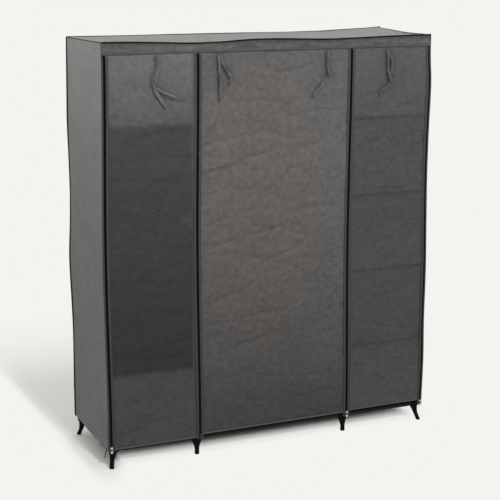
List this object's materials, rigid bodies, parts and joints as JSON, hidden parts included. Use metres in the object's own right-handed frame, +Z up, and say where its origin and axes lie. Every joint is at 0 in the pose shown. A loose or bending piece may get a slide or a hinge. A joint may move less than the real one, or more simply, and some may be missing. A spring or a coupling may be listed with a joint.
{
  "type": "portable fabric wardrobe",
  "caption": "Free-standing wardrobe: a zipped non-woven cloth cover over a plug-together steel tube frame, with side bays of cloth shelves and a middle bay with a hanging rod.",
  "frame": {"origin": "centre of the wardrobe's footprint on the floor, between the toes of the corner feet", "axes": "+X to the right seen from the front, +Y from the zipped front to the back, +Z up"},
  "size_m": [1.5, 0.4735, 1.75],
  "materials": {
    "moulded_plastic": "satin moulded black",
    "frame_steel": "satin black powder coat",
    "shelf_cloth": "non-woven, matte, point-bonded",
    "cover_cloth": "non-woven, matte, point-bonded",
    "tie_cloth": "folded non-woven tape",
    "zip_chain": "black coil on woven tape",
    "slider_metal": "plated die casting"
  },
  "bodies": {
    "root": {"foot_front_1": "moulded_plastic", "foot_front_2": "moulded_plastic", "foot_front_3": "moulded_plastic", "foot_front_4": "moulded_plastic", "foot_back_1": "moulded_plastic", "foot_back_2": "moulded_plastic", "foot_back_3": "moulded_plastic", "foot_back_4": "moulded_plastic", "upright_front_1": "frame_steel", "upright_front_2": "frame_steel", "upright_front_3": "frame_steel", "upright_front_4": "frame_steel", "upright_back_1": "frame_steel", "upright_back_2": "frame_steel", "upright_back_3": "frame_steel", "upright_back_4": "frame_steel", "top_rail_front": "frame_steel", "top_rail_back": "frame_steel", "top_cross_tube_1": "frame_steel", "top_cross_tube_2": "frame_steel", "top_cross_tube_3": "frame_steel", "top_cross_tube_4": "frame_steel", "base_cross_tube_1": "frame_steel", "base_cross_tube_2": "frame_steel", "base_cross_tube_3": "frame_steel", "base_cross_tube_4": "frame_steel", "hanging_rod": "frame_steel", "shelf_left_1": "shelf_cloth", "shelf_left_2": "shelf_cloth", "shelf_left_3": "shelf_cloth", "shelf_left_4": "shelf_cloth", "shelf_right_1": "shelf_cloth", "shelf_right_2": "shelf_cloth", "shelf_right_3": "shelf_cloth", "shelf_right_4": "shelf_cloth", "base_shelf": "shelf_cloth", "cover_left": "cover_cloth", "cover_right": "cover_cloth", "cover_back": "cover_cloth", "cover_top": "cover_cloth", "valance": "cover_cloth", "zip_1": "zip_chain", "zip_4": "zip_chain"},
    "door_left": {"door_left": "cover_cloth", "tie_left": "tie_cloth"},
    "door_middle": {"door_middle": "cover_cloth", "zip_2": "zip_chain", "zip_3": "zip_chain", "tie_middle_left": "tie_cloth", "tie_middle_right": "tie_cloth"},
    "door_right": {"door_right": "cover_cloth", "tie_right": "tie_cloth"},
    "slider_1": {"zip_slider_1": "slider_metal"},
    "slider_2": {"zip_slider_2": "slider_metal"},
    "slider_3": {"zip_slider_3": "slider_metal"},
    "slider_4": {"zip_slider_4": "slider_metal"},
    "pull_1": {"zip_pull_1": "slider_metal"},
    "pull_2": {"zip_pull_2": "slider_metal"},
    "pull_3": {"zip_pull_3": "slider_metal"},
    "pull_4": {"zip_pull_4": "slider_metal"}
  },
  "joints": [
    {"name": "door_left_lift", "type": "hinge", "parent": "root", "child": "door_left", "pos_m": [-0.541, -0.23, 1.6997], "axis": [-1, 0, 0], "range_deg": [0, 90]},
    {"name": "door_middle_lift", "type": "hinge", "parent": "root", "child": "door_middle", "pos_m": [0.008, -0.23, 1.6997], "axis": [-1, 0, 0], "range_deg": [0, 90]},
    {"name": "door_right_lift", "type": "hinge", "parent": "root", "child": "door_right", "pos_m": [0.549, -0.23, 1.6997], "axis": [-1, 0, 0], "range_deg": [0, 90]},
    {"name": "slider_1_slide", "type": "slide", "parent": "root", "child": "slider_1", "axis": [0, 0, 1], "range_m": [0, 1.5957]},
    {"name": "slider_2_slide", "type": "slide", "parent": "door_middle", "child": "slider_2", "axis": [0, 0, 1], "range_m": [0, 1.5957]},
    {"name": "slider_3_slide", "type": "slide", "parent": "door_middle", "child": "slider_3", "axis": [0, 0, 1], "range_m": [0, 1.5957]},
    {"name": "slider_4_slide", "type": "slide", "parent": "root", "child": "slider_4", "axis": [0, 0, 1], "range_m": [0, 1.5957]},
    {"name": "pull_1_swing", "type": "hinge", "parent": "slider_1", "child": "pull_1", "pos_m": [-0.74, -0.2361, 0.088], "axis": [-1, 0, 0], "range_deg": [0, 120]},
    {"name": "pull_2_swing", "type": "hinge", "parent": "slider_2", "child": "pull_2", "pos_m": [-0.344, -0.2361, 0.088], "axis": [-1, 0, 0], "range_deg": [0, 120]},
    {"name": "pull_3_swing", "type": "hinge", "parent": "slider_3", "child": "pull_3", "pos_m": [0.36, -0.2361, 0.088], "axis": [-1, 0, 0], "range_deg": [0, 120]},
    {"name": "pull_4_swing", "type": "hinge", "parent": "slider_4", "child": "pull_4", "pos_m": [0.74, -0.2361, 0.088], "axis": [-1, 0, 0], "range_deg": [0, 120]}
  ]
}
